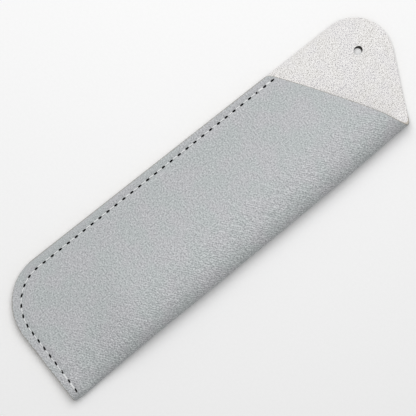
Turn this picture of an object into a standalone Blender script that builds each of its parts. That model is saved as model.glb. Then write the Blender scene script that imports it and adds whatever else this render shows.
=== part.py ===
"""Pencil sleeve: one leather blank, folded along its right side and stitched along its left side and foot.

The back is longer than the front and stands out beyond the mouth as a tongue with a punched hole.
Metres, +Z up. The sleeve lies on its back. +Y runs from the foot to the tip of the tongue, the fold is
at +X and the stitched edge at -X. The origin is under the middle of the whole outline.
Outlines are drawn with x from the stitched edge and y from the foot, and moved to the origin at the end.
"""
from math import acos, atan2, cos, hypot, pi, sin, sqrt

import bmesh
import bpy
import numpy as np
from mathutils import Matrix, Vector

# Outline of the folded blank
case_length = 0.1987
foot_width = 0.0582
mouth_width = 0.05315
fold_wave = 0.00035
fold_bow = 0.0002
foot_corner_radius = 0.02305
fold_corner_radius = 0.0012
fold_draw = 0.0003
fold_draw_height = 0.0060
fold_round_share = 0.88
tongue_length = 0.0499
mouth_rise = 0.0283
mouth_bow_share = 0.15
tip_radius = 0.0165
tongue_side_drop = 0.0119

# Plies of the sheet, and the gap that the two halves keep in the seam
skin_thickness = 0.0006
suede_thickness = 0.0005
ply_gap = 0.0003
panel_gap = 0.0003

# Pocket and fold
pocket_height = 0.0074
fold_inner_radius = 0.0008
fold_top_share = 0.46
fold_under_share = 0.35
pinch_start = 0.0075
pinch_length = 0.0400
seam_to_rise = 0.0026
body_rise_power_share = 3.0
foot_rise_power_share = 7.0

# Seam
stitch_count = 44
seam_top_inset = 0.0028
seam_corner_inset = 0.00405
seam_to_mouth = 0.0023
seam_to_fold = 0.0037
seam_end_rise = 0.00345
needle_hole_radius = 0.00070
thread_radius = 0.00020
thread_clearance = 0.00012
thread_dip = 0.00020
lift_reach = 0.0035
lift_flat = 0.0014

# Tongue
hang_hole_radius = 0.00185
hang_hole_inset = 0.0137
hang_hole_to_side = 0.0153
bend_to_mouth = 0.0045
bend_slit = 0.0003
cut_overrun = 0.0020

# How finely the sheet is drawn
corner_columns = 6
panel_columns = 5
fold_columns = 5
rows = 18
row_power_share = 1.35
arc_steps = 14
hole_sides = 24
needle_hole_sides = 6
settle_steps = 8

# Sizes that follow
mouth_low = case_length - tongue_length
mouth_crest = mouth_low + mouth_rise
sheet_thickness = skin_thickness + ply_gap + suede_thickness
least_fold_radius = sheet_thickness + fold_inner_radius
body_height = pocket_height + 2 * sheet_thickness
foot_height = 2 * least_fold_radius
seam_height = 2 * sheet_thickness + panel_gap
thread_lift = 2 * (thread_radius + thread_clearance)
corner_centre = (foot_corner_radius, foot_corner_radius)
seam_corner_radius = foot_corner_radius - seam_corner_inset

LEATHER = {"color": (0.480, 0.503, 0.509, 1.0), "roughness": 0.55}
SUEDE = {"color": (0.768, 0.745, 0.742, 1.0), "roughness": 0.95}
THREAD = {"color": (0.680, 0.690, 0.690, 1.0), "roughness": 0.60}


def clamp(value):
    return min(max(value, 0.0), 1.0)


def ease(value):
    """Smooth step from 0 to 1."""
    t = clamp(value)
    return t * t * (3 - 2 * t)


def lerp(a, b, share):
    return a + (b - a) * share


# Shape of the fold and the pocket at a height y above the foot

def fold_x(y):
    """How far the outer face of the fold lies from the stitched edge."""
    along = clamp((y - fold_draw_height) / (mouth_crest - fold_draw_height))
    drawn_in = fold_draw * (1 - clamp(y / fold_draw_height)) ** 2
    bowed = 4 * fold_bow * along * (1 - along) - fold_wave * sin(2 * pi * along)
    return lerp(foot_width, mouth_width, along) + bowed - drawn_in


def opening(y):
    """0 where the foot seam holds the two halves together, 1 where the pocket has its full height."""
    return ease((y - pinch_start) / pinch_length)


def crest_height(y):
    return lerp(foot_height, body_height, opening(y))


def fold_quarters(y):
    """Half heights and depths of the fold above and below its widest point."""
    top_rise = fold_top_share * crest_height(y)
    under_rise = crest_height(y) - top_rise
    top_depth = top_rise ** 2 / least_fold_radius
    under_depth = under_rise * (1 + fold_under_share * (under_rise / least_fold_radius - 1))
    return top_rise, top_depth, under_rise, under_depth


def crest_x(y):
    return fold_x(y) - fold_quarters(y)[1]


def under_x(y):
    """Where the back leaves the table and turns up into the fold."""
    return fold_x(y) - fold_quarters(y)[3]


# Seam

def seam_corners():
    """Start at the mouth, the two ends of the round corner, and the end by the fold."""
    top = (seam_top_inset, mouth_y(seam_top_inset / crest_x(mouth_low)) - seam_to_mouth)
    side = (corner_centre[0] - seam_corner_radius, corner_centre[1])
    foot = (corner_centre[0], corner_centre[1] - seam_corner_radius)
    end = (fold_x(seam_end_rise) - seam_to_fold, seam_end_rise)
    return top, side, foot, end


def seam_points(steps):
    """The seam line, divided into equal steps."""
    top, side, foot, end = SEAM
    side_length = hypot(side[0] - top[0], side[1] - top[1])
    arc_length = seam_corner_radius * pi / 2
    end_length = hypot(end[0] - foot[0], end[1] - foot[1])
    total = side_length + arc_length + end_length
    points = []
    for step in range(steps + 1):
        run = total * step / steps
        if run < side_length:
            share = run / side_length
            points.append((lerp(top[0], side[0], share), lerp(top[1], side[1], share)))
        elif run < side_length + arc_length:
            angle = pi + (run - side_length) / seam_corner_radius
            points.append((corner_centre[0] + seam_corner_radius * cos(angle),
                           corner_centre[1] + seam_corner_radius * sin(angle)))
        else:
            share = (run - side_length - arc_length) / end_length
            points.append((lerp(foot[0], end[0], share), lerp(foot[1], end[1], share)))
    return points


def side_seam_x(y):
    top, side = SEAM[:2]
    return lerp(side[0], top[0], clamp((y - side[1]) / (top[1] - side[1])))


def foot_seam_y(x):
    foot, end = SEAM[2:]
    return lerp(foot[1], end[1], clamp((x - foot[0]) / (end[0] - foot[0])))


def margin_x(y):
    """Where the front starts to rise from the back, just inside the seam."""
    radius = seam_corner_radius - seam_to_rise
    if y > corner_centre[1]:
        return side_seam_x(y) + seam_to_rise
    depth = corner_centre[1] - y
    return corner_centre[0] - sqrt(max(radius ** 2 - depth ** 2, 0.0))


def inside_seam(x, y):
    """Distance inside the seam line, negative between the seam and the cut edge."""
    from_side = x - side_seam_x(y)
    from_foot = y - foot_seam_y(x)
    if x < corner_centre[0] and y < corner_centre[1]:
        return seam_corner_radius - hypot(x - corner_centre[0], y - corner_centre[1])
    return min(from_side, from_foot)


def thread_bed(x, y):
    """How far the bobbin thread holds the leather off the table, along the seam and outside it."""
    top, end = SEAM[0], SEAM[3]
    beyond = max(inside_seam(x, y) - lift_flat, x - end[0] - lift_flat / 2, y - top[1] - lift_flat / 2)
    return thread_lift * ease(1 - beyond / lift_reach)


def front_height(x, y):
    """Height of the grain face of the front, from the stitched edge to the crest."""
    start = margin_x(y)
    v = clamp((x - start) / (crest_x(y) - start))
    power = lerp(foot_rise_power_share, body_rise_power_share, opening(y))
    rise = v ** power * (1 + power * (1 - v))
    return lerp(seam_height, crest_height(y), rise)


# Outline of the blank

def mouth_y(share):
    """Height of the mouth edge on the front, bowed up between the stitched edge and the crest."""
    return lerp(mouth_low, mouth_crest, share + mouth_bow_share * share * (1 - share))


def foot_line(x):
    """Lower edge of both halves: round corner, level foot, and a small round at the fold."""
    if x < foot_corner_radius:
        return corner_centre[1] - sqrt(foot_corner_radius ** 2 - (foot_corner_radius - x) ** 2)
    bend = fold_x(0) - fold_corner_radius
    turn = clamp((x - bend) / fold_corner_radius) * fold_round_share
    return fold_corner_radius * (1 - sqrt(1 - turn ** 2))


def tip_arc():
    """Centre of the tongue's round tip, and the angle at which the long straight side leaves it."""
    centre = (tip_radius, case_length - tip_radius)
    side_end = bend_ends()[1]
    reach = hypot(side_end[0] - centre[0], side_end[1] - centre[1])
    toward_end = atan2(side_end[1] - centre[1], side_end[0] - centre[0])
    return centre, toward_end + acos(tip_radius / reach)


def bend_ends():
    """The tongue's bend line: from just above the mouth to where the long side meets the fold."""
    left = (0.0, mouth_low + bend_to_mouth)
    right = (under_x(mouth_crest), case_length - tongue_side_drop)
    return left, right


def bend_line(x):
    left, right = bend_ends()
    return lerp(left[1], right[1], x / right[0])


# The sheet as a grid: columns run round the section, rows run from the foot to the mouth

def column_kinds():
    """Front from the stitched edge to the crest, round the fold, and along the back again."""
    corner = [("corner", 1 - cos(pi / 2 * step / corner_columns)) for step in range(corner_columns)]
    panel = [("panel", step / panel_columns) for step in range(panel_columns)]
    front = [("front", kind, share) for kind, share in corner + panel]
    back = [("back", kind, share) for kind, share in reversed(corner + panel)]
    over = [("over", "fold", step / fold_columns) for step in range(fold_columns)]
    under = [("under", "fold", step / fold_columns) for step in range(fold_columns + 1)]
    return front + over + under + back


def panel_x(kind, share, inner, y):
    if kind == "corner":
        return foot_corner_radius * share
    return lerp(foot_corner_radius, inner(y), share)


def section_point(column, y):
    """A point on the grain face for a column at height y."""
    side, kind, share = column
    top_rise, top_depth, under_rise, under_depth = fold_quarters(y)
    if side == "front":
        x = panel_x(kind, share, crest_x, y)
        z = front_height(x, y)
    elif side == "back":
        x = panel_x(kind, share, under_x, y)
        z = 0.0
    elif side == "over":
        angle = pi / 2 * share
        x = fold_x(y) - top_depth * (1 - sin(angle))
        z = under_rise + top_rise * cos(angle)
    else:
        angle = pi / 2 * share
        x = fold_x(y) - under_depth * (1 - cos(angle))
        z = under_rise * (1 - sin(angle))
    return x, z + thread_bed(x, y)


def fold_run_share(column):
    """How far round the fold a column lies, by length along the leather."""
    top_rise, top_depth, under_rise, under_depth = fold_quarters(mouth_crest)
    fine = 40
    angles = [pi / 2 * step / fine for step in range(fine + 1)]
    over = [(top_depth * sin(a), top_rise * cos(a)) for a in angles]
    under = [(under_depth * cos(a), under_rise * sin(a)) for a in angles]

    def run(points, share):
        last = round(share * fine)
        return sum(hypot(points[i + 1][0] - points[i][0], points[i + 1][1] - points[i][1])
                   for i in range(last))

    over_run = run(over, 1)
    total = over_run + run(under, 1)
    if column[0] == "over":
        return run(over, column[2]) / total
    return (over_run + run(under, column[2])) / total


def top_y(column):
    """Where a column ends: the mouth on the front, the bend line or the tongue's side on the back."""
    if column[0] in ("over", "under"):
        return lerp(mouth_crest, bend_ends()[1][1] - bend_slit / 2, fold_run_share(column))
    y = mouth_low
    for _ in range(settle_steps):
        x = section_point(column, y)[0]
        if column[0] == "front":
            y = mouth_y(x / crest_x(y))
        else:
            y = bend_line(x) - bend_slit / 2
    return y


def bottom_y(column):
    y = 0.0
    for _ in range(settle_steps):
        y = foot_line(section_point(column, y)[0])
    return y


def row_share(row):
    return (row / rows) ** row_power_share


def grain_face():
    """The grain face of the folded blank as an array of points, columns by rows."""
    grid = []
    for column in column_kinds():
        low, high = bottom_y(column), top_y(column)
        line = []
        for row in range(rows + 1):
            y = lerp(low, high, row_share(row))
            x, z = section_point(column, y)
            line.append((x, y, z))
        grid.append(line)
    return np.array(grid)


def inward(grid, depth):
    """The grid moved into the leather by a depth, square to the face."""
    across = np.gradient(grid, axis=0)
    along = np.gradient(grid, axis=1)
    normal = np.cross(across, along)
    normal /= np.linalg.norm(normal, axis=2, keepdims=True)
    return grid - normal * depth


# Blender objects

def clear_scene():
    for item in list(bpy.data.objects):
        bpy.data.objects.remove(item, do_unlink=True)


def make_material(name, look):
    material = bpy.data.materials.new(name)
    material.use_nodes = True
    shader = material.node_tree.nodes["Principled BSDF"]
    shader.inputs["Base Color"].default_value = look["color"]
    shader.inputs["Roughness"].default_value = look["roughness"]
    shader.inputs["Metallic"].default_value = 0.0
    return material


def add_object(name, data, material=None):
    item = bpy.data.objects.new(name, data)
    bpy.context.scene.collection.objects.link(item)
    if material:
        data.materials.append(material)
    return item


def to_origin(x, y, z):
    return x - foot_width / 2, y - case_length / 2, z


def mesh_from_bmesh(name, bm):
    bmesh.ops.recalc_face_normals(bm, faces=bm.faces)
    mesh = bpy.data.meshes.new(name)
    bm.to_mesh(mesh)
    bm.free()
    return mesh


def thicken(item, thickness):
    """Give a face its thickness, away from the side that its normals point to."""
    solid = item.modifiers.new("thickness", "SOLIDIFY")
    solid.thickness = thickness
    solid.offset = -1
    solid.use_even_offset = True
    return solid


def cut(item, cutter):
    hole = item.modifiers.new("cut", "BOOLEAN")
    hole.operation = "DIFFERENCE"
    hole.solver = "EXACT"
    hole.object = cutter


def as_cutter(item):
    item.hide_render = True
    item.display_type = "WIRE"
    return item


def sheet_mesh(name, grid):
    """One face of a ply from its grid, with the normals on the grain side."""
    columns, lines = grid.shape[:2]
    bm = bmesh.new()
    verts = [[bm.verts.new(to_origin(*point)) for point in line] for line in grid]
    for i in range(columns - 1):
        for j in range(lines - 1):
            bm.faces.new((verts[i][j], verts[i + 1][j], verts[i + 1][j + 1], verts[i][j + 1]))
    mesh = bpy.data.meshes.new(name)
    bm.to_mesh(mesh)
    bm.free()
    mesh.shade_smooth()
    return mesh


def needle_hole_cutter():
    """One straight hole through both halves for each needle hole."""
    height = seam_height + thread_lift + 2 * cut_overrun
    middle = (seam_height + thread_lift) / 2
    bm = bmesh.new()
    for x, y in seam_points(stitch_count):
        place = Matrix.Translation(Vector(to_origin(x, y, middle)))
        bmesh.ops.create_cone(bm, cap_ends=True, segments=needle_hole_sides, radius1=needle_hole_radius,
                              radius2=needle_hole_radius, depth=height, matrix=place)
    return as_cutter(add_object("needle_hole_cutter", mesh_from_bmesh("needle_hole_cutter", bm)))


def build_sleeve(leather, suede, holes):
    grain = grain_face()
    skin = add_object("sleeve_leather", sheet_mesh("sleeve_leather", grain), leather)
    thicken(skin, skin_thickness)
    cut(skin, holes)
    inner = inward(grain, skin_thickness + ply_gap)
    lining = add_object("sleeve_suede", sheet_mesh("sleeve_suede", inner), suede)
    thicken(lining, suede_thickness)
    cut(lining, holes)


def tongue_outline():
    """Corner points of the tongue, from the bend line up the stitched side and round the tip."""
    left, right = bend_ends()
    length = hypot(right[0] - left[0], right[1] - left[1])
    shift = bend_slit / 2
    step = (-shift * (right[1] - left[1]) / length, shift * (right[0] - left[0]) / length)
    low = (0.0, bend_line(0.0) + shift * length / right[0])
    centre, stop = tip_arc()
    quarter = [lerp(pi, pi / 2, i / arc_steps) for i in range(arc_steps + 1)]
    rest = [lerp(pi / 2, stop, i / arc_steps) for i in range(1, arc_steps + 1)]
    arc = [(centre[0] + tip_radius * cos(a), centre[1] + tip_radius * sin(a)) for a in quarter + rest]
    end = (right[0] + step[0], right[1] + step[1])
    return [low] + arc + [end]


def tongue_ply(name, low, thickness, material, hole):
    bm = bmesh.new()
    bm.faces.new([bm.verts.new(to_origin(x, y, low + thickness)) for x, y in reversed(tongue_outline())])
    mesh = bpy.data.meshes.new(name)
    bm.to_mesh(mesh)
    bm.free()
    item = add_object(name, mesh, material)
    thicken(item, thickness)
    cut(item, hole)
    return item


def build_tongue(leather, suede):
    bm = bmesh.new()
    centre = to_origin(hang_hole_to_side, case_length - hang_hole_inset, sheet_thickness / 2)
    bmesh.ops.create_cone(bm, cap_ends=True, segments=hole_sides, radius1=hang_hole_radius,
                          radius2=hang_hole_radius, depth=sheet_thickness + 2 * cut_overrun,
                          matrix=Matrix.Translation(Vector(centre)))
    hole = as_cutter(add_object("hang_hole_cutter", mesh_from_bmesh("hang_hole_cutter", bm)))
    tongue_ply("tongue_leather", 0.0, skin_thickness, leather, hole)
    tongue_ply("tongue_suede", skin_thickness + ply_gap, suede_thickness, suede, hole)


def thread_route(face_height, side):
    """Points of one thread: over the leather between the holes, down into it at each hole."""
    over = thread_radius + thread_clearance
    route = []
    points = seam_points(stitch_count)
    pitch = hypot(points[1][0] - points[0][0], points[1][1] - points[0][1])
    rim_share = needle_hole_radius * cos(pi / needle_hole_sides) / pitch
    for index, (x, y) in enumerate(points):
        route.append((x, y, face_height(x, y) - side * thread_dip))
        if index < stitch_count:
            nx, ny = points[index + 1]
            for share in (rim_share, 1 - rim_share):
                px, py = lerp(x, nx, share), lerp(y, ny, share)
                route.append((px, py, face_height(px, py) + side * over))
    return route


def build_thread(name, route, material):
    curve = bpy.data.curves.new(name, "CURVE")
    curve.dimensions = "3D"
    curve.bevel_depth = thread_radius
    curve.bevel_resolution = 1
    curve.use_fill_caps = True
    spline = curve.splines.new("POLY")
    spline.points.add(len(route) - 1)
    for point, place in zip(spline.points, route):
        point.co = (*to_origin(*place), 1.0)
    return add_object(name, curve, material)


def build():
    clear_scene()
    leather = make_material("leather", LEATHER)
    suede = make_material("suede", SUEDE)
    thread = make_material("thread", THREAD)
    build_sleeve(leather, suede, needle_hole_cutter())
    build_tongue(leather, suede)

    def front(x, y):
        return front_height(x, y) + thread_bed(x, y)

    build_thread("needle_thread", thread_route(front, 1), thread)
    build_thread("bobbin_thread", thread_route(thread_bed, -1), thread)


SEAM = seam_corners()
build()
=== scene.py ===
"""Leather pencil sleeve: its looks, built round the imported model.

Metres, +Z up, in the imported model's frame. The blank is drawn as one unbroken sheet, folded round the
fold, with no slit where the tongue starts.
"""

from math import acos, atan2, cos, hypot, pi, radians, sin

import bmesh
import bpy
import numpy as np
from mathutils import Matrix, Vector


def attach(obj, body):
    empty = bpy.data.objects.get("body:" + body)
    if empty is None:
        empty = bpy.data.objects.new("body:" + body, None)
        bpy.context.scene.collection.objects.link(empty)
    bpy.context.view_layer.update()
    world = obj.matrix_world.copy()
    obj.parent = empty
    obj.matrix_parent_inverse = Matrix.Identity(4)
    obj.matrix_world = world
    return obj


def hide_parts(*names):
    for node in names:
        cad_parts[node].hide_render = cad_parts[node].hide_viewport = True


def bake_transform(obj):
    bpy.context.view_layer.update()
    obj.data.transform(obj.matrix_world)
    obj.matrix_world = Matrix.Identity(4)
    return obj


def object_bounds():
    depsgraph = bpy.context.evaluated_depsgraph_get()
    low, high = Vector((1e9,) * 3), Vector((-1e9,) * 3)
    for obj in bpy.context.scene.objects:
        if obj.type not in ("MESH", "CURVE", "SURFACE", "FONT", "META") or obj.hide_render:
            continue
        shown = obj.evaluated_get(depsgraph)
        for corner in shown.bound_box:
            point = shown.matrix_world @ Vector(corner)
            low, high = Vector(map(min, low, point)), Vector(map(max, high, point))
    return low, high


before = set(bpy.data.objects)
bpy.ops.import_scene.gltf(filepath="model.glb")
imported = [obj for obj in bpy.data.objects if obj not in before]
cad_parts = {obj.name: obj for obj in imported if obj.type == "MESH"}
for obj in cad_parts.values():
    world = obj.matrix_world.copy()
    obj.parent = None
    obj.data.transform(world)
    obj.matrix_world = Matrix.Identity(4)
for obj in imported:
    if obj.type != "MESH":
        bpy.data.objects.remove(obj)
cad_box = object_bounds()

# Outline of the folded blank, measured from the stitched edge and the foot
case_length = 0.1987
foot_width = 0.0582
mouth_width = 0.05315
fold_wave = 0.00035
fold_bow = 0.0002
foot_corner_radius = 0.02305
fold_corner_radius = 0.0012
fold_draw = 0.0003
fold_draw_height = 0.0060
fold_round_share = 0.88
mouth_rise = 0.0283
mouth_bow_share = 0.15
mouth_corner_radius = 0.0018
tongue_length = 0.0499
tongue_side_drop = 0.0119
tip_radius = 0.0165

# Punched hole near the tip
hang_hole_radius = 0.00185
hang_hole_inset = 0.01373
hang_hole_to_side = 0.01535
hang_hole_ovality = 0.89
hang_hole_turn = radians(51.85)
punch_slant = radians(-33)
punch_slant_axis = radians(29)
punch_overrun = 0.004
punch_sides = 48

# The sheet, its fold and its pocket
skin_thickness = 0.0006
sheet_thickness = 0.00150
cad_sheet_thickness = 0.0014
panel_gap = 0.0003
fold_inner_radius = 0.0008
fold_top_share = 0.46
fold_under_share = 0.35
pinch_start = 0.0075
pinch_length = 0.0400
seam_to_rise = 0.0026
body_rise_power = 3.0
foot_rise_power = 7.0
edge_round = 0.00012
edge_round_width = 0.00035

# How the tongue stands off the table
tongue_lift = 0.0004
tongue_lift_reach = 0.034

# Soft waves in the leather: cells are millimetres on the flat blank
wave_height = 0.00012
wave_cell = 24.0
wave_seed = 5
ripple_height = 0.00004
ripple_cell = 7.0
ripple_seed = 9
wave_reach = 0.010
wave_free_height = 0.003
noise_lattice = 64
noise_offset = 31

# Seam, with how far some stitches stray along it from their even places, as sewn by hand-fed work
stitch_count = 44
seam_top_inset = 0.00305
seam_corner_inset = 0.00392
seam_to_mouth = 0.0023
seam_to_fold = 0.0037
seam_end_rise = 0.00345
stray_stitches = (0, 3, 8, 16, 26, 31, 36, 41, 42, 44)
stray = (0.0001, -0.00052, -0.00083, -0.00099, -0.00089, -0.00052, 0.0001, -0.00122, -0.00106, 0.00005)

# How the seam shapes the leather round it
thread_lift = 0.00064
lift_reach = 0.0035
lift_flat = 0.0014
front_valley = 0.00048
back_valley = 0.00010
valley_width = 0.0012

# Needle holes, cut blind from both sides
hole_length = 0.00215
hole_width = 0.00084
front_hole_floor = 0.0019
back_hole_roof = 0.0016
foot_hole_turn = radians(-11)
hole_overrun = 0.003
back_hole_overrun = 0.002
hole_sides = 12

# Thread
thread_radius = 0.00025
ply_count = 2
ply_radius_share = 0.56
ply_orbit_share = 0.46
ply_sides = 6
twist_length = 0.0011
needle_offset = -0.00012
stitch_arch = 0.00006

# Path out of a needle hole: shares of the leg's inset and depth, then of the rim's place and the radius
leg_depth = 0.0015
leg_inset = 0.00094
leg_rim = 0.00122
leg_wall_shares = ((1.0, -1.0), (1.03, -0.5), (1.12, -0.12))
leg_rim_shares = ((1.0, 0.4), (1.25, 1.0))

# Back tack, and the path into a hole that its thread fills: drops are shares of the radius
tack_stitches = 2
tack_offset = 0.00018
tack_end_inset = 0.00020
tack_end_drop_share = 2.4
tack_slope_share = 0.7
tack_slope_drop_share = 0.8
tack_rim_shares = ((1.0, 0.7), (1.25, 1.0))

# How finely the sheet and the threads are drawn
corner_columns = 40
panel_columns = 26
fold_columns = 20
rows = 262
edge_row_share = 0.0008
settle_steps = 8
slope_step = 0.00002
shortest_edge = 0.000005
sharp_angle = radians(40)
thread_step = 0.00016
curve_parts = 8
least_curve_steps = 4
least_length = 1e-9

# Grain leather: scales are per millimetre of the flat blank, and reaches are millimetres
grain_roughness = 0.54
grain_roughness_spread = 0.06
grain_specular = 0.32
warp_scale = 0.45
warp_reach = 0.6
pebble_scale = 1.25
pebble_groove = 0.34
pebble_weight = 0.10
pore_scale = 1.6
pore_contrast = (0.25, 0.75)
grain_level = 0.20
crease_turn = radians(37)
crease_stretch = (1.3, 1.0, 1.0)
crease_scale = 0.33
crease_waver = 6.4
crease_detail = 1.0
crease_detail_scale = 3.2
crease_detail_roughness = 0.6
crease_weight = 0.43
crease_pore_weight = 0.98
crease_level = 0.07
crease_to_front = 3.0
crease_reach = (36.0, 6.0)
grain_bump = 0.00030
grain_bump_strength = (0.45, 0.75)

# Colours of the grain, as read from the photograph
# Painted shade for the grain's hollows, and painted highlight for its heights
painted_shade_greys = (151, 156, 157), (155, 156, 159)
painted_highlight_greys = (215, 220, 220), (219, 220, 222)
# A darker beige grey along the cut edge
edge_band_grey = (158, 154, 147)
patch_scale = 0.09
patch_contrast = (0.36, 0.64)
grey_contrast = (0.42, 1.18)
# Painted shade on the fold's shoulder, fading out away from the fold
shoulder_reach = (12.0, 1.5)
shoulder_shade = 0.17
# How far the darker beige grey reaches in from the cut edge, ragged by the pores
edge_band_reach = (0.76, 0.34)
edge_band_pore_weight = 0.5
edge_band_share = 0.85

# Suede, in the grain's units
suede_roughness = 0.95
suede_specular = 0.15
tuft_turn = radians(-7)
tuft_stretch = (1.4, 0.85, 1.0)
tuft_scale = 2.6
tuft_detail = 1.0
tuft_noise_roughness = 0.60
tuft_waver = 0.5
tuft_weight = 0.70
nap_scale = 3.8
nap_weight = 0.30
suede_bump = 0.00035
suede_bump_strength = 0.55
suede_sheen = 0.25
suede_sheen_roughness = 0.6
# Painted shade for the low nap in two tints, the suede's own colour, then painted highlight for the high
# tufts
nap_painted_shade_colours = (170, 167, 163), (169, 166, 173)
suede_colour = (244, 242, 240)
nap_painted_highlight_colour = (255, 254, 253)
tint_scale = 0.10
tint_contrast = (0.38, 0.62)
# Where the painted shade and the painted highlight fall, by the nap's height
nap_painted_shade_reach = (0.53, 0.37)
nap_painted_highlight_reach = (0.50, 0.64)

# Cut edges, needle holes, thread and table: scales are per metre
skin_edge_colours = (138, 137, 133), (170, 168, 162)
suede_edge_colours = (176, 168, 158), (222, 215, 205)
# Painted shade for the punched hole's wall
punched_wall_painted_shade_colours = (44, 43, 42), (74, 72, 70)
edge_roughness = 0.9
edge_specular = 0.2
edge_fibre_scale = 2600.0
edge_contrast = (0.3, 0.7)
edge_bump = 0.00008
# Painted shade for the walls and floors of the needle holes
hole_painted_shade_colours = (10, 10, 11), (26, 26, 28)
hole_roughness = 0.95
hole_specular = 0.05
hole_fibre_scale = 4000.0
thread_colours = (226, 228, 228), (252, 252, 252)
thread_roughness = 0.62
thread_specular = 0.35
thread_fibre_scale = 3000.0
thread_bump = 0.00003
thread_sheen = 0.3
table_colours = (246, 246, 246), (250, 250, 250)
table_roughness = 0.6
table_specular = 0.2
table_grain_scale = 900.0
fibre_roughness = 0.7
fibre_bump_strength = 0.5
fine_detail = 3.0
soft_detail = 2.0

# Camera, with lens and sensor in millimetres
picture_pixels = 416
metres_per_pixel = 0.00042
picture_turn = radians(38.15)
camera_lens = 250.0
sensor_width = 36.0
picture_centre = (0.0285, 0.09431)
picture_level = 0.0040

# Light and floor
world_strength = 0.46
key_rise = 2.25
key_distance = 0.62
key_size = 0.56
key_power = 2.60
floor_half_width = 3.0
floor_drop = 0.00002

millimetres_per_metre = 1000
mouth_low = case_length - tongue_length
mouth_crest = mouth_low + mouth_rise
least_fold_radius = cad_sheet_thickness + fold_inner_radius
body_height = cad_box[1].z
foot_height = 2 * least_fold_radius
seam_height = 2 * cad_sheet_thickness + panel_gap
corner_centre = (foot_corner_radius, foot_corner_radius)
seam_corner_radius = foot_corner_radius - seam_corner_inset
valley_depths = {"front": front_valley, "back": back_valley, "over": 0.0, "under": 0.0}
front_columns = corner_columns + panel_columns
origin = (foot_width / 2, case_length / 2)


def ease(value):
    """Smooth step from 0 to 1."""
    t = np.clip(value, 0.0, 1.0)
    return t * t * (3 - 2 * t)


def lerp(a, b, share):
    return a + (b - a) * share


def to_frame(x, y):
    """From the outline's own corner to the frame's origin."""
    return x - origin[0], y - origin[1]


# The fold and the pocket at a height y above the foot

def fold_x(y):
    along = np.clip((y - fold_draw_height) / (mouth_crest - fold_draw_height), 0, 1)
    drawn_in = fold_draw * (1 - np.clip(y / fold_draw_height, 0, 1)) ** 2
    bowed = 4 * fold_bow * along * (1 - along) - fold_wave * np.sin(2 * pi * along)
    return lerp(foot_width, mouth_width, along) + bowed - drawn_in


def opening(y):
    return ease((y - pinch_start) / pinch_length)


def crest_height(y):
    return lerp(foot_height, body_height, opening(y))


def fold_quarters(y):
    top_rise = fold_top_share * crest_height(y)
    under_rise = crest_height(y) - top_rise
    top_depth = top_rise ** 2 / least_fold_radius
    under_depth = under_rise * (1 + fold_under_share * (under_rise / least_fold_radius - 1))
    return top_rise, top_depth, under_rise, under_depth


def crest_x(y):
    return fold_x(y) - fold_quarters(y)[1]


def under_x(y):
    return fold_x(y) - fold_quarters(y)[3]


def mouth_y(share):
    return lerp(mouth_low, mouth_crest, share + mouth_bow_share * share * (1 - share))


# Seam line

def seam_corners():
    top = (seam_top_inset, mouth_y(seam_top_inset / crest_x(mouth_low)) - seam_to_mouth)
    side = (corner_centre[0] - seam_corner_radius, corner_centre[1])
    foot = (corner_centre[0], corner_centre[1] - seam_corner_radius)
    end = (fold_x(seam_end_rise) - seam_to_fold, seam_end_rise)
    return top, side, foot, end


SEAM = seam_corners()


def seam_points(steps):
    """Ends of the stitches along the seam, nearly even, each with the seam's direction there."""
    top, side, foot, end = SEAM
    side_length = hypot(side[0] - top[0], side[1] - top[1])
    arc_length = seam_corner_radius * pi / 2
    end_length = hypot(end[0] - foot[0], end[1] - foot[1])
    total = side_length + arc_length + end_length
    points = []
    for step in range(steps + 1):
        run = total * step / steps + np.interp(step, stray_stitches, stray)
        if run < side_length:
            share = run / side_length
            place = (lerp(top[0], side[0], share), lerp(top[1], side[1], share))
            turn = atan2(side[1] - top[1], side[0] - top[0])
        elif run < side_length + arc_length:
            angle = pi + (run - side_length) / seam_corner_radius
            place = (corner_centre[0] + seam_corner_radius * cos(angle),
                     corner_centre[1] + seam_corner_radius * sin(angle))
            turn = angle + pi / 2
        else:
            share = (run - side_length - arc_length) / end_length
            place = (lerp(foot[0], end[0], share), lerp(foot[1], end[1], share))
            turn = atan2(end[1] - foot[1], end[0] - foot[0])
        points.append((place[0], place[1], turn))
    return points


def side_seam_x(y):
    top, side = SEAM[:2]
    return lerp(side[0], top[0], np.clip((y - side[1]) / (top[1] - side[1]), 0, 1))


def foot_seam_y(x):
    foot, end = SEAM[2:]
    return lerp(foot[1], end[1], np.clip((x - foot[0]) / (end[0] - foot[0]), 0, 1))


def margin_x(y):
    radius = seam_corner_radius - seam_to_rise
    depth = np.maximum(corner_centre[1] - y, 0)
    arc = corner_centre[0] - np.sqrt(np.maximum(radius ** 2 - depth ** 2, 0))
    return np.where(y > corner_centre[1], side_seam_x(y) + seam_to_rise, arc)


def inside_seam(x, y):
    """Distance inside the seam line, negative between the seam and the cut edge."""
    straight = np.minimum(x - side_seam_x(y), y - foot_seam_y(x))
    corner = seam_corner_radius - np.hypot(x - corner_centre[0], y - corner_centre[1])
    return np.where((x < corner_centre[0]) & (y < corner_centre[1]), corner, straight)


def past_seam_ends(x, y):
    top, end = SEAM[0], SEAM[3]
    return np.maximum(x - end[0], y - top[1])


def thread_bed(x, y):
    beyond = np.maximum(inside_seam(x, y) - lift_flat, past_seam_ends(x, y) - lift_flat / 2)
    return thread_lift * ease(1 - beyond / lift_reach)


def seam_valley(x, y, depth):
    """How far the stitches draw one half in along the seam."""
    across = np.exp(-(inside_seam(x, y) / valley_width) ** 2)
    return depth * across * ease(1 - past_seam_ends(x, y) / valley_width)


def tongue_curl(x, y):
    """How far the tongue stands off the table beyond the mouth."""
    return tongue_lift * ease((y - mouth_y(x / crest_x(mouth_low))) / tongue_lift_reach)


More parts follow.
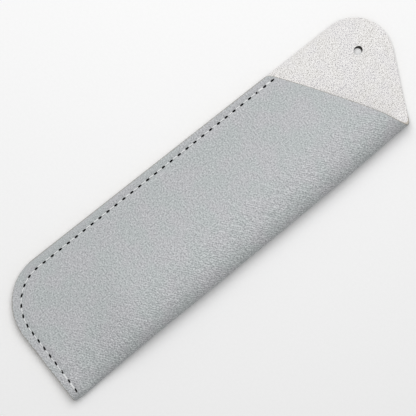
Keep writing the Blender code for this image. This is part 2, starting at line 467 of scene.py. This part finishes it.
def front_z(x, y):
    """Height of the front's grain face: pressed flat along the seam, rising from there to the crest."""
    start = margin_x(y)
    v = np.clip((x - start) / (crest_x(y) - start), 0, 1)
    power = lerp(foot_rise_power, body_rise_power, opening(y))
    rise = v ** power * (1 + power * (1 - v))
    held_up = thread_lift * ease(1 - (past_seam_ends(x, y) - lift_flat / 2) / lift_reach)
    flat = lerp(seam_height + held_up, crest_height(y) + thread_bed(x, y), rise)
    return flat - seam_valley(x, y, front_valley)


def back_z(x, y):
    return thread_bed(x, y) + seam_valley(x, y, back_valley) + tongue_curl(x, y)


# Cut outline of the blank

def foot_line(x):
    bend = fold_x(0.0) - fold_corner_radius
    reach = np.clip(foot_corner_radius - x, 0, foot_corner_radius)
    corner = corner_centre[1] - np.sqrt(foot_corner_radius ** 2 - reach ** 2)
    turn = np.clip((x - bend) / fold_corner_radius, 0, 1) * fold_round_share
    return np.where(x < foot_corner_radius, corner, fold_corner_radius * (1 - np.sqrt(1 - turn ** 2)))


def tongue_top(x):
    """Upper edge of the tongue: round tip, then the long straight side down to the fold."""
    centre = (tip_radius, case_length - tip_radius)
    end = (under_x(mouth_crest), case_length - tongue_side_drop)
    reach = hypot(end[0] - centre[0], end[1] - centre[1])
    angle = atan2(end[1] - centre[1], end[0] - centre[0]) + acos(tip_radius / reach)
    tangent = (centre[0] + tip_radius * cos(angle), centre[1] + tip_radius * sin(angle))
    across = np.clip(x - centre[0], -tip_radius, tangent[0] - centre[0])
    tip = centre[1] + np.sqrt(tip_radius ** 2 - across ** 2)
    side = lerp(tangent[1], end[1], (x - tangent[0]) / (end[0] - tangent[0]))
    return np.where(x < tangent[0], tip, side)


def mouth_corner(x):
    """How far the rounding at the stitched edge takes the mouth down."""
    turn = np.clip((mouth_corner_radius - x) / mouth_corner_radius, 0, 1)
    return mouth_corner_radius * (1 - np.sqrt(1 - turn ** 2))


def column_kinds():
    """Front from the stitched edge to the crest, round the fold, and along the back again."""
    corner = [("corner", 1 - cos(pi / 2 * step / corner_columns)) for step in range(corner_columns)]
    panel = [("panel", step / panel_columns) for step in range(panel_columns)]
    front = [("front", kind, share) for kind, share in corner + panel]
    back = [("back", kind, share) for kind, share in reversed(corner + panel)]
    over = [("over", "fold", step / fold_columns) for step in range(fold_columns)]
    under = [("under", "fold", step / fold_columns) for step in range(fold_columns + 1)]
    return front + over + under + back


COLUMNS = column_kinds()
FOLD_COLUMN = front_columns + fold_columns


def section(column, y):
    """Points on the grain face for one column at heights y."""
    side, kind, share = column
    top_rise, top_depth, under_rise, under_depth = fold_quarters(y)
    if side in ("front", "back"):
        if kind == "corner":
            x = foot_corner_radius * share + 0 * y
        else:
            x = lerp(foot_corner_radius, crest_x(y) if side == "front" else under_x(y), share)
        return x, front_z(x, y) if side == "front" else back_z(x, y)
    if side == "over":
        x = fold_x(y) - top_depth * (1 - sin(pi / 2 * share))
        z = under_rise + top_rise * cos(pi / 2 * share)
    else:
        x = fold_x(y) - under_depth * (1 - cos(pi / 2 * share))
        z = under_rise * (1 - sin(pi / 2 * share))
    return x, z + thread_bed(x, y) + tongue_curl(x, y)


def settle(column, line):
    """The height at which a column meets an outline that is given by its x."""
    y = mouth_low
    for _ in range(settle_steps):
        y = line(section(column, np.float64(y))[0], y)
    return float(y)


def fold_run(column):
    """How far round the fold a column lies at the mouth, by length along the leather."""
    y = np.float64(mouth_crest)
    points = [section(item, y) for item in COLUMNS[front_columns:][:2 * fold_columns + 1]]
    steps = [hypot(b[0] - a[0], b[1] - a[1]) for a, b in zip(points, points[1:])]
    index = COLUMNS.index(column) - front_columns
    return sum(steps[:index]) / sum(steps)


def column_ends(column):
    low = settle(column, lambda x, y: foot_line(x))
    if column[0] == "front":
        return low, settle(column, lambda x, y: mouth_y(x / crest_x(y)) - mouth_corner(x))
    if column[0] == "back":
        return low, settle(column, lambda x, y: tongue_top(x))
    return low, lerp(mouth_crest, float(tongue_top(under_x(mouth_crest))), fold_run(column))


def row_shares():
    inner = np.linspace(0, 1, rows + 1)[1:-1]
    return np.concatenate(([0, edge_row_share], inner, [1 - edge_row_share, 1]))


def grain_face():
    """The grain face as points, how far each is from the cut edge, and how deep the stitches press it."""
    shares = row_shares()
    grid, edge, press = [], [], []
    for column in COLUMNS:
        low, high = column_ends(column)
        y = lerp(low, high, shares)
        x, z = section(column, y)
        grid.append(np.stack([x, y, z], axis=1))
        to_side = x if column[0] in ("front", "back") else np.full_like(y, case_length)
        edge.append(np.minimum(to_side, np.minimum(y - low, high - y)))
        press.append(seam_valley(x, y, valley_depths[column[0]]))
    return np.array(grid), np.array(edge), np.array(press)


def inward_normals(grid):
    """Unit normals into the leather: from the heights on the flat halves, from the grid round the fold."""
    normal = np.cross(np.gradient(grid, axis=1), np.gradient(grid, axis=0))
    for index, (side, _, _) in enumerate(COLUMNS):
        if side in ("front", "back"):
            height, sign = (front_z, -1) if side == "front" else (back_z, 1)
            x, y = grid[index, :, 0], grid[index, :, 1]
            slope_x = (height(x + slope_step, y) - height(x - slope_step, y)) / (2 * slope_step)
            slope_y = (height(x, y + slope_step) - height(x, y - slope_step)) / (2 * slope_step)
            normal[index] = sign * np.stack([-slope_x, -slope_y, np.ones_like(x)], axis=1)
    return normal / np.linalg.norm(normal, axis=2, keepdims=True)


def blank_coordinates(grid):
    """Places on the flat blank, in millimetres: round the section from the fold, and along the fold."""
    steps = np.linalg.norm(np.diff(grid, axis=0), axis=2)
    run = np.concatenate([np.zeros((1, grid.shape[1])), np.cumsum(steps, axis=0)])
    run = run - run[FOLD_COLUMN]
    return np.stack([run, grid[:, :, 1]], axis=2) * millimetres_per_metre


def soft_noise(places, cell, seed):
    """Smooth seeded noise from -1 to 1 over flat places in millimetres."""
    lattice = np.random.default_rng(seed).uniform(-1, 1, (noise_lattice, noise_lattice))
    scaled = places / cell + noise_offset
    base = np.floor(scaled).astype(int)
    t = ease(scaled - base)
    i, j = base[..., 0] % noise_lattice, base[..., 1] % noise_lattice
    i1, j1 = (i + 1) % noise_lattice, (j + 1) % noise_lattice
    low = lerp(lattice[i, j], lattice[i1, j], t[..., 0])
    high = lerp(lattice[i, j1], lattice[i1, j1], t[..., 0])
    return lerp(low, high, t[..., 1])


# Meshes

def shell(name, upper, lower, maps):
    """A closed sheet between two grids: the first material on both faces, the second on the rim."""
    columns, lines = upper.shape[:2]
    count = columns * lines
    verts = np.concatenate([upper.reshape(-1, 3), lower.reshape(-1, 3)])
    index = np.arange(count).reshape(columns, lines)
    a, b = index[:-1, :-1].ravel(), index[1:, :-1].ravel()
    c, d = index[1:, 1:].ravel(), index[:-1, 1:].ravel()
    top = np.stack([a, b, c, d], axis=1)
    bottom = np.stack([d, c, b, a], axis=1) + count
    ring = np.concatenate([index[:, 0], index[-1, 1:], index[-2::-1, -1], index[0, -2:0:-1]])
    follow = np.roll(ring, -1)
    rim = np.stack([follow, ring, ring + count, follow + count], axis=1)
    faces = np.concatenate([top, bottom, rim])
    mesh = bpy.data.meshes.new(name)
    mesh.from_pydata(verts.tolist(), [], faces.tolist())
    for layer, values in maps.items():
        flat = np.concatenate([values.reshape(-1, 2)] * 2)[faces.ravel()]
        mesh.uv_layers.new(name=layer).uv.foreach_set("vector", flat.astype(np.float32).ravel())
    slots = np.zeros(len(faces), np.int32)
    slots[2 * len(top):] = 1
    mesh.polygons.foreach_set("material_index", slots)
    mesh.update()
    mesh.validate()
    return mesh


def add_object(name, mesh, materials):
    item = bpy.data.objects.new(name, mesh)
    bpy.context.scene.collection.objects.link(item)
    for material in materials:
        mesh.materials.append(material)
    return item


def oval_cutter(name, places, size, span, sides, material, lean=Matrix.Identity(4)):
    """Oval pegs of one length and width, from low to high, each turned to its direction at its place."""
    low, high = span
    bm = bmesh.new()
    for x, y, along in places:
        spot = Matrix.Translation((*to_frame(x, y), (low + high) / 2)) @ lean
        matrix = spot @ Matrix.Rotation(along, 4, "Z") @ Matrix.Diagonal((*size, high - low, 1))
        bmesh.ops.create_cone(bm, cap_ends=True, segments=sides, radius1=0.5, radius2=0.5, depth=1,
                              matrix=matrix)
    bmesh.ops.recalc_face_normals(bm, faces=bm.faces)
    mesh = bpy.data.meshes.new(name)
    bm.to_mesh(mesh)
    bm.free()
    item = add_object(name, mesh, [material])
    item.hide_render = True
    return item


def tidy_faces(mesh):
    """Take out the slivers that the cuts leave, and split faces with many corners into triangles."""
    bm = bmesh.new()
    bm.from_mesh(mesh)
    bmesh.ops.dissolve_degenerate(bm, dist=shortest_edge, edges=bm.edges)
    many = [face for face in bm.faces if len(face.verts) > 4]
    bmesh.ops.triangulate(bm, faces=many, ngon_method="BEAUTY")
    bm.to_mesh(mesh)
    bm.free()


def cut_through(item, cutters):
    """Cut holes for good, so that the mesh is final."""
    for cutter in cutters:
        hole = item.modifiers.new("cut", "BOOLEAN")
        hole.operation = "DIFFERENCE"
        hole.solver = "EXACT"
        hole.material_mode = "TRANSFER"
        hole.object = cutter
    graph = bpy.context.evaluated_depsgraph_get()
    mesh = bpy.data.meshes.new_from_object(item.evaluated_get(graph))
    item.modifiers.clear()
    tidy_faces(mesh)
    item.data = mesh


def smooth(item, angle):
    item.data.shade_smooth()
    item.data.set_sharp_from_angle(angle=angle)


def ride_sheet(item, nodes):
    """Bake the sheet's place into its mesh, and hide the model's parts that it stands for."""
    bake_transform(item)
    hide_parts(*nodes)


# Materials

def add_node(tree, kind, sockets=None, **settings):
    """A shader node with its settings, and its sockets set or linked by name or number."""
    made = tree.nodes.new(kind)
    for name, value in settings.items():
        setattr(made, name, value)
    for name, value in (sockets or {}).items():
        if isinstance(value, bpy.types.NodeSocket):
            tree.links.new(value, made.inputs[name])
        else:
            made.inputs[name].default_value = value
    return made


def srgb(red, green, blue):
    """A colour as read from the photograph, made linear by the sRGB curve."""
    channels = [value / 255 for value in (red, green, blue)]
    linear = [c / 12.92 if c <= 0.04045 else ((c + 0.055) / 1.055) ** 2.4 for c in channels]
    return (*linear, 1.0)


def new_material(name, roughness, specular):
    material = bpy.data.materials.new(name)
    material.use_nodes = True
    shader = material.node_tree.nodes["Principled BSDF"]
    shader.inputs["Roughness"].default_value = roughness
    shader.inputs["Specular IOR Level"].default_value = specular
    return material, material.node_tree, shader


def blank_vector(tree):
    """Places on the flat blank, in millimetres."""
    return add_node(tree, "ShaderNodeUVMap", uv_map="blank").outputs["UV"]


def edge_distance(tree):
    """Distance from the cut edge, in millimetres."""
    edge = add_node(tree, "ShaderNodeUVMap", uv_map="edge").outputs["UV"]
    return add_node(tree, "ShaderNodeSeparateXYZ", {0: edge}).outputs["X"]


def object_vector(tree):
    return add_node(tree, "ShaderNodeTexCoord").outputs["Object"]


def math_node(tree, operation, *values):
    return add_node(tree, "ShaderNodeMath", dict(enumerate(values)), operation=operation).outputs[0]


def range_node(tree, value, low, high, to_low=0.0, to_high=1.0):
    made = add_node(tree, "ShaderNodeMapRange", {"Value": value, "From Min": low, "From Max": high,
                                                 "To Min": to_low, "To Max": to_high},
                    interpolation_type="SMOOTHSTEP")
    return made.outputs["Result"]


def noise_node(tree, vector, scale, detail, roughness=0.5):
    return add_node(tree, "ShaderNodeTexNoise", {"Vector": vector, "Scale": scale, "Detail": detail,
                                                 "Roughness": roughness}).outputs


def stretched(tree, vector, turn, stretch):
    """The vector for a pattern that is drawn out along its axes and turned on the blank."""
    return add_node(tree, "ShaderNodeMapping", {"Vector": vector, "Rotation": (0.0, 0.0, turn),
                                                "Scale": stretch}, vector_type="TEXTURE").outputs[0]


def mix_colour(tree, share, first, second):
    return add_node(tree, "ShaderNodeMix", {0: share, 6: first, 7: second}, data_type="RGBA").outputs[2]


def between_colours(tree, share, colours):
    """From the first to the second of two colours as read from the photograph."""
    return mix_colour(tree, share, srgb(*colours[0]), srgb(*colours[1]))


def paint(tree, shader, colour):
    tree.links.new(colour, shader.inputs["Base Color"])


def raise_bumps(tree, shader, height, strength, distance):
    bumps = add_node(tree, "ShaderNodeBump", {"Height": height, "Strength": strength, "Distance": distance})
    tree.links.new(bumps.outputs["Normal"], shader.inputs["Normal"])


def grain_height(tree, place, pores, near_fold):
    """Fine pebbles and pores on the flat, and wavering ridges for the creases near the fold."""
    warp = noise_node(tree, place, warp_scale, soft_detail)["Color"]
    shifted = add_node(tree, "ShaderNodeVectorMath", {0: warp, 1: (warp_reach, warp_reach, 0.0), 2: place},
                       operation="MULTIPLY_ADD").outputs[0]
    between = add_node(tree, "ShaderNodeTexVoronoi", {"Vector": shifted, "Scale": pebble_scale},
                       feature="DISTANCE_TO_EDGE").outputs["Distance"]
    pebbles = math_node(tree, "MULTIPLY", range_node(tree, between, 0.0, pebble_groove), pebble_weight)
    grain = math_node(tree, "ADD", pores, math_node(tree, "ADD", pebbles, grain_level))
    turned = stretched(tree, shifted, crease_turn, crease_stretch)
    ridges = add_node(tree, "ShaderNodeTexWave",
                      {"Vector": turned, "Scale": crease_scale, "Distortion": crease_waver,
                       "Detail": crease_detail, "Detail Scale": crease_detail_scale,
                       "Detail Roughness": crease_detail_roughness}, bands_direction="Y").outputs["Fac"]
    under_ridges = math_node(tree, "MULTIPLY_ADD", pores, crease_pore_weight, crease_level)
    creased = math_node(tree, "MULTIPLY_ADD", ridges, crease_weight, under_ridges)
    return add_node(tree, "ShaderNodeMix", {0: near_fold, 2: grain, 3: creased}).outputs[0]


def grain_colour(tree, place, height, pores, run):
    """Grey with painted highlight on the grain's heights, painted shade in its hollows and on the fold's
    shoulder, and a darker beige grey along the cut edge.
    """
    patches = noise_node(tree, place, patch_scale, soft_detail)["Fac"]
    tone = range_node(tree, patches, *patch_contrast)
    # Painted shade in the grain's hollows and painted highlight on its heights, set by the grain's height
    dark = between_colours(tree, tone, painted_shade_greys)
    pale = between_colours(tree, tone, painted_highlight_greys)
    share = add_node(tree, "ShaderNodeMapRange", {"Value": height, "From Min": grey_contrast[0],
                                                  "From Max": grey_contrast[1]}).outputs["Result"]
    colour = mix_colour(tree, share, dark, pale)
    # Painted shade: darker towards the fold on its shoulder
    shoulder = range_node(tree, math_node(tree, "ABSOLUTE", run), *shoulder_reach, 0.0, shoulder_shade)
    colour = mix_colour(tree, shoulder, colour, srgb(0, 0, 0))
    ragged = math_node(tree, "MULTIPLY_ADD", pores, edge_band_pore_weight, edge_distance(tree))
    edge_band = range_node(tree, ragged, *edge_band_reach, 0.0, edge_band_share)
    return mix_colour(tree, edge_band, colour, srgb(*edge_band_grey))


def grain_material():
    """Coated leather with a fine pebbled grain, drawn into short slanting creases towards the fold."""
    material, tree, shader = new_material("grain_leather", grain_roughness, grain_specular)
    place = blank_vector(tree)
    run = add_node(tree, "ShaderNodeSeparateXYZ", {0: place}).outputs["X"]
    from_creases = math_node(tree, "ABSOLUTE", math_node(tree, "ADD", run, crease_to_front))
    near_fold = range_node(tree, from_creases, *crease_reach)
    pores = noise_node(tree, place, pore_scale, 0.0)["Fac"]
    height = grain_height(tree, place, pores, near_fold)
    paint(tree, shader, grain_colour(tree, place, height, pores, run))
    strength = range_node(tree, near_fold, 0.0, 1.0, *grain_bump_strength)
    raise_bumps(tree, shader, height, strength, grain_bump)
    roughness = range_node(tree, pores, *pore_contrast, grain_roughness - grain_roughness_spread,
                           grain_roughness + grain_roughness_spread)
    tree.links.new(roughness, shader.inputs["Roughness"])
    return material


def suede_material():
    """Pale suede: a short nap in small tufts, with painted shade on the low ones and painted highlight on
    the high ones.
    """
    material, tree, shader = new_material("suede_nap", suede_roughness, suede_specular)
    place = blank_vector(tree)
    swept = stretched(tree, place, tuft_turn, tuft_stretch)
    tufts = add_node(tree, "ShaderNodeTexNoise",
                     {"Vector": swept, "Scale": tuft_scale, "Detail": tuft_detail,
                      "Roughness": tuft_noise_roughness, "Distortion": tuft_waver}).outputs["Fac"]
    nap = noise_node(tree, place, nap_scale, tuft_detail, tuft_noise_roughness)["Fac"]
    fine = math_node(tree, "MULTIPLY", nap, nap_weight)
    height = math_node(tree, "MULTIPLY_ADD", tufts, tuft_weight, fine)
    tint = range_node(tree, noise_node(tree, place, tint_scale, soft_detail)["Fac"], *tint_contrast)
    # Painted shade where the nap is low, then painted highlight where it is high
    nap_painted_shade = between_colours(tree, tint, nap_painted_shade_colours)
    colour = mix_colour(tree, range_node(tree, height, *nap_painted_shade_reach), srgb(*suede_colour), nap_painted_shade)
    paint(tree, shader, mix_colour(tree, range_node(tree, height, *nap_painted_highlight_reach), colour, srgb(*nap_painted_highlight_colour)))
    raise_bumps(tree, shader, height, suede_bump_strength, suede_bump)
    shader.inputs["Sheen Weight"].default_value = suede_sheen
    shader.inputs["Sheen Roughness"].default_value = suede_sheen_roughness
    return material


def edge_material(name, colours):
    """Raw cut edge: short fibres across the sheet; on the punched hole's wall the near-black colours are
    painted shade.
    """
    material, tree, shader = new_material(name, edge_roughness, edge_specular)
    fibres = noise_node(tree, object_vector(tree), edge_fibre_scale, fine_detail, fibre_roughness)["Fac"]
    paint(tree, shader, between_colours(tree, range_node(tree, fibres, *edge_contrast), colours))
    raise_bumps(tree, shader, fibres, fibre_bump_strength, edge_bump)
    return material


def hole_painted_shade_material():
    """The wall and floor of a needle hole, near-black as painted shade for the hole's depth."""
    material, tree, shader = new_material("needle_hole", hole_roughness, hole_specular)
    fibres = noise_node(tree, object_vector(tree), hole_fibre_scale, soft_detail)["Fac"]
    paint(tree, shader, between_colours(tree, fibres, hole_painted_shade_colours))
    return material


def thread_material():
    """Matte sewing thread, pale and slightly fuzzy."""
    material, tree, shader = new_material("sewing_thread", thread_roughness, thread_specular)
    fibres = noise_node(tree, object_vector(tree), thread_fibre_scale, fine_detail, fibre_roughness)["Fac"]
    paint(tree, shader, between_colours(tree, fibres, thread_colours))
    raise_bumps(tree, shader, fibres, fibre_bump_strength, thread_bump)
    shader.inputs["Sheen Weight"].default_value = thread_sheen
    return material


def table_material():
    """Plain white table."""
    material, tree, shader = new_material("white_table", table_roughness, table_specular)
    grain = noise_node(tree, object_vector(tree), table_grain_scale, fine_detail)["Fac"]
    paint(tree, shader, between_colours(tree, grain, table_colours))
    return material


# Threads

def leg_marks():
    """Up the wall of a hole and over its rim: run from the hole's middle, and rise over the leather."""
    wall = [(leg_inset * run, leg_depth * rise) for run, rise in leg_wall_shares]
    return wall + [(leg_rim * run, thread_radius * rise) for run, rise in leg_rim_shares]


def tack_marks():
    """The same, over a hole that the thread of the back tack fills."""
    wall = [(tack_end_inset, -thread_radius * tack_end_drop_share),
            (leg_inset * tack_slope_share, -thread_radius * tack_slope_drop_share)]
    return wall + [(leg_rim * run, thread_radius * rise) for run, rise in tack_rim_shares]


def stitch_line(start, end, height, side, offset, meets_tack):
    """Centre of the thread in one stitch: up out of a hole, over the leather, and down into the next."""
    ax, ay = start[:2]
    bx, by = end[:2]
    length = hypot(bx - ax, by - ay)
    ux, uy = (bx - ax) / length, (by - ay) / length
    last = tack_marks() if meets_tack else leg_marks()
    marks = leg_marks() + [(length / 2, thread_radius + stitch_arch)]
    marks += [(length - run, rise) for run, rise in reversed(last)]
    points = []
    for run, rise in marks:
        x, y = ax + ux * run - uy * offset, ay + uy * run + ux * offset
        points.append(Vector((*to_frame(x, y), float(height(x, y)) + side * rise)))
    return points


def even_points(points, step):
    """A smooth curve through the points, read at even steps."""
    knots = [points[0]] + points + [points[-1]]
    fine = []
    for a, b, c, d in zip(knots, knots[1:], knots[2:], knots[3:]):
        for part in range(curve_parts):
            t = part / curve_parts
            fine.append(0.5 * (2 * b + (c - a) * t + (2 * a - 5 * b + 4 * c - d) * t * t
                               + (3 * b - a - 3 * c + d) * t ** 3))
    fine.append(points[-1])
    run = [0.0]
    for a, b in zip(fine, fine[1:]):
        run.append(run[-1] + (b - a).length)
    wanted = np.linspace(0, run[-1], max(int(run[-1] / step), least_curve_steps) + 1)
    table = np.array(fine)
    return np.stack([np.interp(wanted, run, table[:, axis]) for axis in range(3)], axis=1)


def unit_tangents(centres):
    tangents = np.gradient(centres, axis=0)
    return tangents / np.linalg.norm(tangents, axis=1, keepdims=True)


def add_tube(verts, faces, centres, radius, sides):
    """A round tube with closed ends along a line of centres."""
    tangents = unit_tangents(centres)
    across = np.cross(tangents, (0.0, 0.0, 1.0))
    across /= np.maximum(np.linalg.norm(across, axis=1, keepdims=True), least_length)
    for index in range(1, len(across)):
        if across[index] @ across[index - 1] < 0:
            across[index] *= -1
    up = np.cross(across, tangents)
    base = len(verts)
    for centre, a, b in zip(centres, across, up):
        for side in range(sides):
            angle = 2 * pi * side / sides
            verts.append(centre + radius * (cos(angle) * a + sin(angle) * b))
    last = len(centres) - 1
    for ring in range(last):
        for side in range(sides):
            i, j = base + ring * sides + side, base + ring * sides + (side + 1) % sides
            faces.append((j, i, i + sides, j + sides))
    faces.append(tuple(base + side for side in range(sides)))
    faces.append(tuple(base + last * sides + side for side in reversed(range(sides))))


def add_twisted(verts, faces, centres):
    """The plies of a thread, wound round its centre line."""
    tangents = unit_tangents(centres)
    level = tangents[len(tangents) // 2] * (1.0, 1.0, 0.0)
    across = np.tile(np.cross(level / np.linalg.norm(level), (0.0, 0.0, 1.0)), (len(centres), 1))
    up = np.cross(across, tangents)
    up /= np.linalg.norm(up, axis=1, keepdims=True)
    run = np.arange(len(centres)) * thread_step
    for ply in range(ply_count):
        angle = 2 * pi * (run / twist_length + ply / ply_count)
        around = np.cos(angle)[:, None] * across + np.sin(angle)[:, None] * up
        add_tube(verts, faces, centres + around * thread_radius * ply_orbit_share,
                 thread_radius * ply_radius_share, ply_sides)


def thread_object(name, height, side, middle, material):
    """All stitches of one thread, doubled by the back tack at both ends of the seam."""
    verts, faces = [], []
    points = seam_points(stitch_count)
    last_single = stitch_count - tack_stitches - 1
    for index in range(stitch_count):
        tacked = index < tack_stitches or index > last_single
        meets_tack = index in (tack_stitches - 1, last_single)
        offsets = (middle - tack_offset, middle + tack_offset) if tacked else (middle,)
        for offset in offsets:
            line = stitch_line(points[index], points[index + 1], height, side, offset, meets_tack)
            add_twisted(verts, faces, even_points(line, thread_step))
    mesh = bpy.data.meshes.new(name)
    mesh.from_pydata([tuple(v) for v in verts], [], faces)
    mesh.update()
    item = add_object(name, mesh, [material])
    item.data.shade_smooth()
    return item


# Scene

def waves(face, places):
    """How far soft waves move the leather out, inside the seam and clear of the table."""
    inner = ease((inside_seam(face[:, :, 0], face[:, :, 1]) - lift_flat) / wave_reach)
    lifted = ease(face[:, :, 2] / wave_free_height)
    wave = wave_height * soft_noise(places, wave_cell, wave_seed)
    ripple = ripple_height * soft_noise(places, ripple_cell, ripple_seed)
    return (wave + ripple) * inner * lifted


def sheet_grids():
    """Grain face, the face between the plies and the suede's face, with the maps for their materials."""
    face, edge, press = grain_face()
    normal = inward_normals(face)
    places = blank_coordinates(face)
    face = face - normal * waves(face, places)[..., None]
    rounding = edge_round * np.clip(1 - edge / edge_round_width, 0, 1) ** 2
    grain = face + normal * rounding[..., None]
    middle = face + normal * skin_thickness
    nap = face + normal * (sheet_thickness - press - rounding)[..., None]
    for grid in (grain, middle, nap):
        grid[:, :, :2] -= origin
    maps = {"blank": places, "edge": np.stack([edge, edge], axis=2) * millimetres_per_metre}
    return grain, middle, nap, maps


def needle_cutters():
    """Pegs for the needle holes in the front and in the back, turned a little more along the foot."""
    # The pegs give the needle holes' walls and floors this painted shade
    dark = hole_painted_shade_material()
    holes = [(x, y, turn + foot_hole_turn * float(ease((foot_corner_radius - y) / foot_corner_radius)))
             for x, y, turn in seam_points(stitch_count)]
    spans = (front_hole_floor, seam_height + hole_overrun), (-back_hole_overrun, back_hole_roof)
    return [oval_cutter("needle_hole_cutter", holes, (hole_length, hole_width), span, hole_sides, dark)
            for span in spans]


def punch_cutter():
    """A slanted oval peg for the punched hole."""
    x, y = hang_hole_to_side, case_length - hang_hole_inset
    size = (2 * hang_hole_radius, 2 * hang_hole_radius * hang_hole_ovality)
    top = tongue_lift * float(ease((y - mouth_low) / tongue_lift_reach)) + sheet_thickness
    slant = Matrix.Rotation(punch_slant, 4, Vector((cos(punch_slant_axis), sin(punch_slant_axis), 0)))
    span = (top - punch_overrun, top + punch_overrun)
    # The punched hole's wall takes near-black colours as painted shade
    wall = edge_material("punched_edge", punched_wall_painted_shade_colours)
    return oval_cutter("punch_cutter", [(x, y, hang_hole_turn)], size, span, punch_sides, wall, slant)


def build_sheet():
    grain, middle, nap, maps = sheet_grids()
    skin_edge = edge_material("skin_cut_edge", skin_edge_colours)
    suede_edge = edge_material("suede_cut_edge", suede_edge_colours)
    cutters = [*needle_cutters(), punch_cutter()]
    skin = add_object("grain_skin", shell("grain_skin", grain, middle, maps), [grain_material(), skin_edge])
    ply = add_object("suede_ply", shell("suede_ply", middle, nap, maps), [suede_material(), suede_edge])
    for item in (skin, ply):
        cut_through(item, cutters)
        smooth(item, sharp_angle)
    for cutter in cutters:
        bpy.data.objects.remove(cutter)
    ride_sheet(skin, ("sleeve_leather", "tongue_leather"))
    ride_sheet(ply, ("sleeve_suede", "tongue_suede"))


def build_threads():
    material = thread_material()
    needle = thread_object("needle_thread_stitches", front_z, 1, needle_offset, material)
    bobbin = thread_object("bobbin_thread_stitches", back_z, -1, 0.0, material)
    for item, node in ((needle, "needle_thread"), (bobbin, "bobbin_thread")):
        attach(item, "sleeve")
        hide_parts(node)


def build_floor():
    half = floor_half_width
    mesh = bpy.data.meshes.new("floor")
    mesh.from_pydata([(-half, -half, 0), (half, -half, 0), (half, half, 0), (-half, half, 0)], [],
                     [(0, 1, 2, 3)])
    floor = add_object("floor", mesh, [table_material()])
    floor.location.z = -floor_drop


def build_light():
    """White surroundings, and a soft key light high over the top of the picture."""
    world = bpy.data.worlds.new("studio")
    bpy.context.scene.world = world
    world.use_nodes = True
    back = world.node_tree.nodes["Background"]
    back.inputs["Color"].default_value = (1.0, 1.0, 1.0, 1.0)
    back.inputs["Strength"].default_value = world_strength
    light = bpy.data.lights.new("key", "AREA")
    light.shape = "SQUARE"
    light.size = key_size
    light.energy = key_power
    key = bpy.data.objects.new("key", light)
    bpy.context.scene.collection.objects.link(key)
    toward = Vector((-cos(picture_turn), sin(picture_turn), key_rise)).normalized()
    key.location = toward * key_distance
    key.rotation_euler = (-toward).to_track_quat("-Z", "Y").to_euler()


def build_camera():
    """Straight down over the sleeve, turned as the photograph is."""
    data = bpy.data.cameras.new("camera")
    data.lens = camera_lens
    data.sensor_width = sensor_width
    camera = bpy.data.objects.new("camera", data)
    bpy.context.scene.collection.objects.link(camera)
    distance = picture_pixels * metres_per_pixel * camera_lens / sensor_width
    camera.location = (*to_frame(*picture_centre), distance + picture_level)
    right = Vector((sin(picture_turn), cos(picture_turn), 0))
    up = Vector((-cos(picture_turn), sin(picture_turn), 0))
    camera.rotation_euler = Matrix((right, up, Vector((0, 0, 1)))).transposed().to_euler()
    bpy.context.scene.camera = camera


build_camera()
build_sheet()
build_threads()
build_floor()
build_light()
bpy.context.scene.view_settings.view_transform = "Standard"
